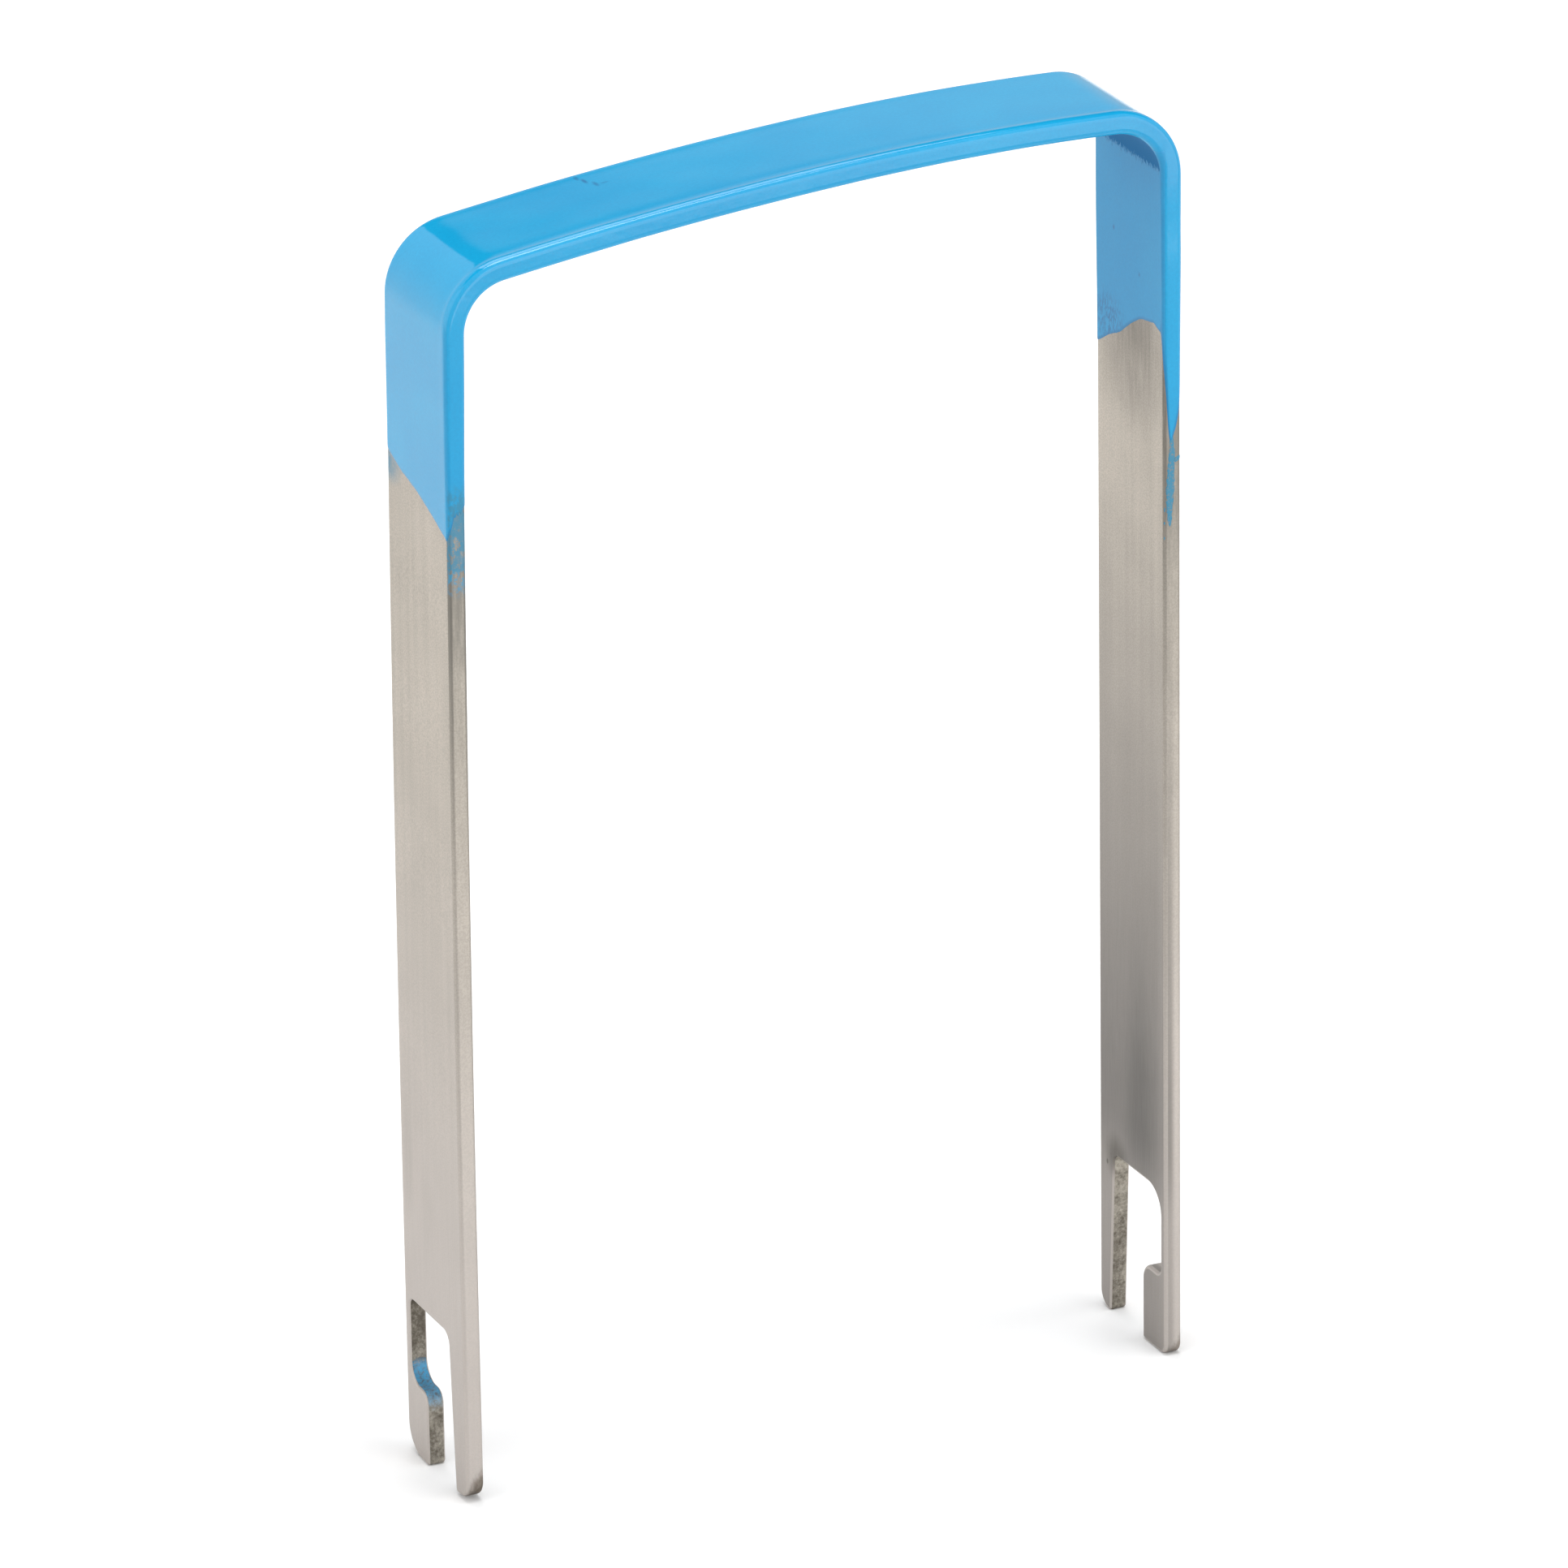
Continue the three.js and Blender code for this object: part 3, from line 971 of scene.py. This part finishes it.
def steel_material():
    material, nodes, shader = new_material("brushed_steel_strip")
    fine = nodes.noise((6, 6, 0.25), 4.0, 0.6)
    speckle = nodes.noise(7.0, 2.0, 0.6)
    ragged = nodes.noise((1.6, 1.6, 0.7), 4.0, 0.65)
    smear = nodes.noise((2.5, 2.5, 0.25), 4.0, 0.6)
    rounding = nodes.attribute("rounding")
    left_paint = residue(nodes, ragged)
    higher = nodes.above(nodes.z, *RESIDUE_BRIGHT_HEIGHT)
    left_colour = nodes.mix(higher, RESIDUE_BRIGHT, RESIDUE)
    # The shelf of the long fork's hook is matt
    shelf = nodes.product(
        nodes.above(nodes.x, LONG_X - LONG_SHELF_DEPTH[1], LONG_X - LONG_SHELF_DEPTH[0]),
        nodes.band(nodes.y, *LONG_SHELF_ACROSS, LONG_SHELF_SOFTNESS),
        nodes.band(nodes.z, *LONG_SHELF_HEIGHT, LONG_SHELF_SOFTNESS),
    )

    colour = steel_colour(nodes, fine, speckle)
    colour = nodes.mix(front_dullness(nodes, smear), colour, STEEL_GREY)
    colour = nodes.mix(front_rounding_darkening(nodes, rounding), colour, STEEL_GREY)
    # painted shade on the long leg's inner face
    colour = nodes.mix(inner_face_painted_shade(nodes, rounding), colour, STEEL_PAINTED_SHADE)
    smeared = nodes.range(smear, 0.25, 0.7, 0.6, 1.0)
    for centre, radii, strength in SMUDGES:
        smudge = nodes.product(nodes.spot(centre, radii), smeared, strength)
        colour = nodes.mix(nodes.smallest(smudge, MOST_DARKENED), colour, STEEL_SMUDGED)
    colour = nodes.mix(heat_tint(nodes, ragged), colour, STEEL_BURNT)
    colour = nodes.mix(nodes.product(left_paint, RESIDUE_COVER), colour, left_colour)
    nodes.put(shader.inputs["Base Color"], colour)
    matt = nodes.largest(
        nodes.product(left_paint, RESIDUE_MATTNESS), nodes.product(shelf, LONG_SHELF_MATTNESS)
    )
    nodes.put(shader.inputs["Metallic"], nodes.less(1.0, matt))
    nodes.put(shader.inputs["Roughness"], nodes.range(fine, 0.2, 0.8, 0.4, 0.52))
    relief = nodes.total(nodes.product(fine, 0.6), nodes.product(speckle, 0.4))
    nodes.put(shader.inputs["Normal"], nodes.bump(relief, strength=0.3, depth=0.02))
    return material


WALL_FADING_HEIGHT = (1.0, 15.0)
WALL_FADING = (-0.03, 0.08)
SHORT_WALL_FADING, LONG_WALL_FADING = -1.4, 0.5
WALL_METALLIC = 0.85
WALL_SURFACE_ROUGHNESS = 0.55
POCKET_ACROSS = (0.5, 1.0)
POCKET_FOOT_HEIGHT, POCKET_TOP_HEIGHT = (5.0, 7.4), (8.0, 8.8)
POCKET_RAGGEDNESS = 2.4
POCKET_METALLIC = 0.1


def sheared_material():
    """Torn steel on the slots' walls, with paint left over the short leg's shelf."""
    material, nodes, shader = new_material("sheared_steel_wall")
    grains = nodes.noise(3.2, 6.0, 0.72)
    patches = nodes.noise(0.7)
    # Upwards the short leg's walls are darker, and the long leg's a little lighter
    fading = nodes.product(
        nodes.range(nodes.x, -LEG_DIVIDE, LEG_DIVIDE, SHORT_WALL_FADING, LONG_WALL_FADING),
        nodes.range(nodes.z, *WALL_FADING_HEIGHT, *WALL_FADING),
    )
    share = nodes.total(nodes.product(grains, 0.6), nodes.product(patches, 0.4), fading)
    colour = nodes.mix(nodes.above(share, 0.33, 0.74), WALL_DARK, WALL_LIGHT)
    level = nodes.total(nodes.z, nodes.swing(grains, POCKET_RAGGEDNESS))
    paint = nodes.product(
        nodes.on_short,
        nodes.above(nodes.y, *POCKET_ACROSS),
        nodes.above(level, *POCKET_FOOT_HEIGHT),
        nodes.below(level, *POCKET_TOP_HEIGHT),
        nodes.range(grains, 0.36, 0.56, 0.35, 0.92),
    )
    nodes.put(shader.inputs["Base Color"], nodes.mix(paint, colour, POCKET_PAINT))
    metallic = nodes.range(paint, 0.0, 1.0, WALL_METALLIC, POCKET_METALLIC)
    nodes.put(shader.inputs["Metallic"], metallic)
    shader.inputs["Roughness"].default_value = WALL_SURFACE_ROUGHNESS
    nodes.put(shader.inputs["Normal"], nodes.bump(grains, strength=0.5, depth=0.06))
    return material


# ---------------------------------------------------------------- paint

PAINT_ROUGHNESS = 0.08
PAINT_IOR = 1.5
SMEAR_ROUGHNESS = 0.5

# Painted shade: the coat's inner side on the long leg is darker, for the weaker light there; it is
# rougher too
INSIDE_DEPTH = 0.2
INSIDE_START = (20, 24)
INSIDE_TOP_HEIGHT = (109.8, 111.2)
INSIDE_SHADE, INSIDE_MATTNESS = 0.23, 0.4

# Painted reflection: a dark patch in the long leg's inner corner, in place of the dark surroundings
# mirrored there; it is rougher too
DARK_REFLECTION_START = (26, 28)
DARK_REFLECTION_SOFTNESS = 0.3
DARK_REFLECTION_FOOT = (0.1, 0.6)  # above the foot of the corner
DARK_REFLECTION_RAGGEDNESS = 2.0
DARK_REFLECTION_ACROSS = (-6.1, -5.9)
DARK_REFLECTION_SHADE, DARK_REFLECTION_MATTNESS = 0.85, 0.85

RUBBED_HEIGHT = (90.4, 92.2)
RUBBED_ACROSS = (-6.3, -6.15)
RUBBED_COVER = 0.85

# Painted shade over the roundings of the legs' front edges, standing in for the dark reflection there
ROUNDING_SHADE_ACROSS, ROUNDING_SHADE_SOFTNESS = (-6.38, -6.14), 0.06
ROUNDING_SHADE_HEIGHT = (104.0, 107.0)
ROUNDING_SHADE_STRENGTH = 0.16
FLAT_EDGE_ACROSS, FLAT_EDGE_SHADE = (-6.46, -6.4), 0.07
LOWER_EDGE_SHADE = 0.6
GRIT_SHADE = 0.12
TICKS_PLACE = ((LONG_FACE, 4.0, 92.4), (1.0, 4.4, 3.4))
TICKS_SHADE = 0.8


def smear_material():
    """Paint rubbed so thin that the steel shows through in specks."""
    material, nodes, shader = new_material("thin_blue_smear")
    specks = nodes.noise(4.5, 4.0, 0.75)
    colour = nodes.mix(nodes.above(specks, 0.32, 0.5), STEEL_GREY, RESIDUE)
    nodes.put(shader.inputs["Base Color"], colour)
    shader.inputs["Roughness"].default_value = SMEAR_ROUGHNESS
    nodes.put(shader.inputs["Normal"], nodes.bump(specks, strength=0.3, depth=0.03))
    return material


def long_leg_inside(nodes):
    """The coat's inner side on the long leg."""
    return nodes.product(
        nodes.below(nodes.x, LONG_FACE, LONG_FACE + INSIDE_DEPTH),
        nodes.above(nodes.x, *INSIDE_START),
        nodes.below(nodes.z, *INSIDE_TOP_HEIGHT),
    )


def corner_dark_reflection(nodes, strokes):
    """Painted reflection: a dark patch inside the long leg's corner, with a ragged lower edge,
    standing in for the dark surroundings mirrored there.
    """
    across = nodes.less(nodes.x, LONG_X - CORNER_RADIUS)
    above = nodes.less(nodes.z, LONG_LEG)
    squared = nodes.total(nodes.product(across, across), nodes.product(above, above))
    return nodes.product(
        nodes.above(nodes.x, *DARK_REFLECTION_START),
        nodes.below(nodes.math("SQRT", squared), CORNER_RADIUS - DARK_REFLECTION_SOFTNESS, CORNER_RADIUS),
        nodes.above(nodes.total(above, nodes.swing(strokes, DARK_REFLECTION_RAGGEDNESS)), *DARK_REFLECTION_FOOT),
        nodes.above(nodes.y, *DARK_REFLECTION_ACROSS),
    )


def rubbed_end(nodes):
    """The coat is rubbed thin where it ends on the short leg's front edge."""
    return nodes.product(
        nodes.above(blotches(nodes), 0.4, 0.58),
        nodes.below(nodes.z, *RUBBED_HEIGHT),
        nodes.below(nodes.y, *RUBBED_ACROSS),
        nodes.on_short,
    )


def paint_shades(nodes, inside, dark_reflection, strokes):
    """How much darker the coat is: by its grit, along its lower edge where the steel shows, by
    painted shade over the roundings of the legs' front edges, on those edges' flats, by painted
    shade inside the long leg, in ticks of grime there, and by a painted dark reflection in the
    corner."""
    grit = nodes.noise(4.0, 3.0, 0.7)
    # painted shade over the front edges' roundings
    rounding_shade = nodes.product(
        nodes.band(nodes.y, *ROUNDING_SHADE_ACROSS, ROUNDING_SHADE_SOFTNESS), nodes.below(nodes.z, *ROUNDING_SHADE_HEIGHT)
    )
    ticks = nodes.product(inside, nodes.above(strokes, 0.48, 0.56), nodes.spot(*TICKS_PLACE))
    return (
        nodes.range(grit, 0.3, 0.72, GRIT_SHADE, 0.0),
        nodes.range(nodes.attribute("rim"), 0.1, 1.2, LOWER_EDGE_SHADE, 0.0),
        # painted shade on the roundings
        nodes.product(rounding_shade, ROUNDING_SHADE_STRENGTH),
        nodes.range(nodes.y, *FLAT_EDGE_ACROSS, FLAT_EDGE_SHADE, 0.0),
        # painted shade inside the long leg
        nodes.product(inside, INSIDE_SHADE),
        nodes.product(ticks, TICKS_SHADE),
        # painted dark reflection in the long leg's corner
        nodes.product(dark_reflection, DARK_REFLECTION_SHADE),
    )


def paint_material():
    material, nodes, shader = new_material("blue_dip_paint")
    cloud = nodes.noise(0.1, 2.0)
    peel = nodes.noise(1.1, 2.0)
    strokes = nodes.noise((6.5, 6.5, 2.0), roughness=0.6)
    inside = long_leg_inside(nodes)
    # painted dark reflection in the long leg's corner
    dark_reflection = corner_dark_reflection(nodes, strokes)
    colour = nodes.mix(nodes.above(cloud, 0.3, 0.7), PAINT_DEEP, PAINT)
    for shade in paint_shades(nodes, inside, dark_reflection, strokes):
        colour = nodes.mix(shade, colour, PAINT_DARK)
    colour = nodes.mix(nodes.product(rubbed_end(nodes), RUBBED_COVER), colour, RESIDUE)
    for centre, radii, strength in SCUFFS:
        scuff = nodes.product(nodes.spot(centre, radii), strength)
        colour = nodes.mix(scuff, colour, PAINT_DARK)
    nodes.put(shader.inputs["Base Color"], colour)
    matt = nodes.largest(
        nodes.product(dark_reflection, DARK_REFLECTION_MATTNESS), nodes.product(inside, INSIDE_MATTNESS)
    )
    nodes.put(shader.inputs["Roughness"], nodes.total(matt, PAINT_ROUGHNESS))
    shader.inputs["IOR"].default_value = PAINT_IOR
    nodes.put(shader.inputs["Normal"], nodes.bump(peel, strength=0.1, depth=0.04))
    return material


# ---------------------------------------------------------------- surroundings

# The world is set by direction: x to the right, y to the back and z up, each from -1 to 1
FRONT_TO_BACK = (-0.05, 0.05)
BACKDROP_HEIGHT = (0.36, 0.462)
BACKDROP_LIGHT, BACKDROP_DIM = 0.55, 0.1
BACKDROP_END = (0.456, 0.461)
SIDE_BOX_EDGE = (-0.05, -0.025)
SIDE_BOX_TOP = (0.65, 0.75)
SIDE_BOX_HEIGHT = (0.4, -0.2)
SIDE_BOX_LIGHT = 0.85
TABLE_EDGE = (0.05, -0.15)
TABLE_LIGHT = 1.1
ROOM_LIGHT = 1.0
# Bearings in the room at the front: x over the distance to the front
NEAREST_FRONT = 0.01
DOORWAY = (-2.2, -0.15)
DOORWAY_SOFTNESS = 0.15
DOORWAY_LIGHT = 0.8
LEFT_BOX_EDGE = (-0.6, -0.75)
LEFT_BOX_TOP = (0.8, 0.9)
LEFT_BOX_SOFTNESS = 0.5
LEFT_BOX_LIGHT = 1.65

FLOOR_WIDTH = 1.4
FLOOR_FRONT = -0.11
FLOOR_BACK = 0.7
FLOOR_ROUGHNESS = 0.9

# Place, target, width and power of each soft box
OVERHEAD_BOX = ((0.05, -0.05, 1.4), (cad_box[0] + cad_box[1]) / 2, 0.6, 8.2)
FRONT_BOX = ((0.4, -0.95, 0.2), (0, 0, 0.03), 0.95, 4.4)
BACK_BOX = ((0.1, 0.55, 0.9), (0.1, 0.5, 0), 0.6, 3.2)


def behind_light(nodes, x, z):
    """A pale backdrop that dims upwards and ends, with a tall soft box at its left, on a table."""
    backdrop = nodes.product(
        nodes.range(z, *BACKDROP_HEIGHT, BACKDROP_LIGHT, BACKDROP_DIM, smooth=False),
        nodes.below(z, *BACKDROP_END),
    )
    side_box = nodes.product(
        nodes.below(x, *SIDE_BOX_EDGE),
        nodes.below(z, *SIDE_BOX_TOP),
        nodes.range(z, *SIDE_BOX_HEIGHT, SIDE_BOX_LIGHT, TABLE_LIGHT),
    )
    return nodes.largest(backdrop, side_box, nodes.range(z, *TABLE_EDGE, 0.0, TABLE_LIGHT))


def make_world():
    """A studio behind, a plain pale room in front with one dimmer strip, and a box at the left."""
    world = bpy.data.worlds.new("studio")
    bpy.context.scene.world = world
    world.use_nodes = True
    world.node_tree.nodes.clear()
    nodes = Nodes(world.node_tree)
    direction = nodes.add("TexCoord").outputs["Generated"]
    x, y, z = nodes.add("SeparateXYZ", {0: direction}).outputs
    bearing = nodes.math("DIVIDE", x, nodes.largest(nodes.product(y, -1.0), NEAREST_FRONT))
    doorway = nodes.band(bearing, *DOORWAY, DOORWAY_SOFTNESS)
    room = nodes.range(doorway, 0.0, 1.0, ROOM_LIGHT, DOORWAY_LIGHT)
    left_box = nodes.product(
        nodes.range(x, *LEFT_BOX_EDGE, 0.0, LEFT_BOX_LIGHT),
        nodes.below(z, *LEFT_BOX_TOP),
        nodes.below(bearing, DOORWAY[0] - LEFT_BOX_SOFTNESS, DOORWAY[0]),
    )
    level = nodes.mix(nodes.below(y, *FRONT_TO_BACK), behind_light(nodes, x, z), room)
    level = nodes.largest(level, left_box)
    light = nodes.add("Background", {"Color": (1, 1, 1, 1), "Strength": level})
    output = nodes.add("OutputWorld")
    world.node_tree.links.new(light.outputs[0], output.inputs[0])


def make_floor():
    bm = bmesh.new()
    half = FLOOR_WIDTH / 2
    corners = ((-half, FLOOR_FRONT), (half, FLOOR_FRONT), (half, FLOOR_BACK), (-half, FLOOR_BACK))
    bm.faces.new([bm.verts.new((x, y, 0)) for x, y in corners])
    mesh = bpy.data.meshes.new("studio_floor")
    bm.to_mesh(mesh)
    bm.free()
    floor = bpy.data.objects.new("studio_floor", mesh)
    floor.location.z = cad_box[0].z
    bpy.context.collection.objects.link(floor)
    material, nodes, shader = new_material("pale_floor")
    grain = nodes.noise(0.02, 2.0)
    nodes.put(shader.inputs["Base Color"], nodes.mix(grain, FLOOR_SHADE, FLOOR_LIGHT))
    shader.inputs["Roughness"].default_value = FLOOR_ROUGHNESS
    shader.inputs["Specular IOR Level"].default_value = 0.0
    mesh.materials.append(material)


def make_light(name, place, target, size, power):
    data = bpy.data.lights.new(name, "AREA")
    data.shape = "SQUARE"
    data.size = size
    data.energy = power
    light = bpy.data.objects.new(name, data)
    light.location = place
    aim = Vector(target) - Vector(place)
    light.rotation_mode = "QUATERNION"
    light.rotation_quaternion = aim.to_track_quat("-Z", "Y")
    bpy.context.collection.objects.link(light)


# ---------------------------------------------------------------- scene

bpy.context.scene.view_settings.view_transform = "Standard"
make_camera()
make_world()
make_floor()
make_light("overhead_softbox", *OVERHEAD_BOX)
make_light("front_fill", *FRONT_BOX)
make_light("back_softbox", *BACK_BOX)
make_strap([steel_material(), sheared_material()])
make_coating(paint_material())
smear_paint = smear_material()
for streak_name, streak_points in STREAKS.items():
    make_streak(streak_name, streak_points, smear_paint)
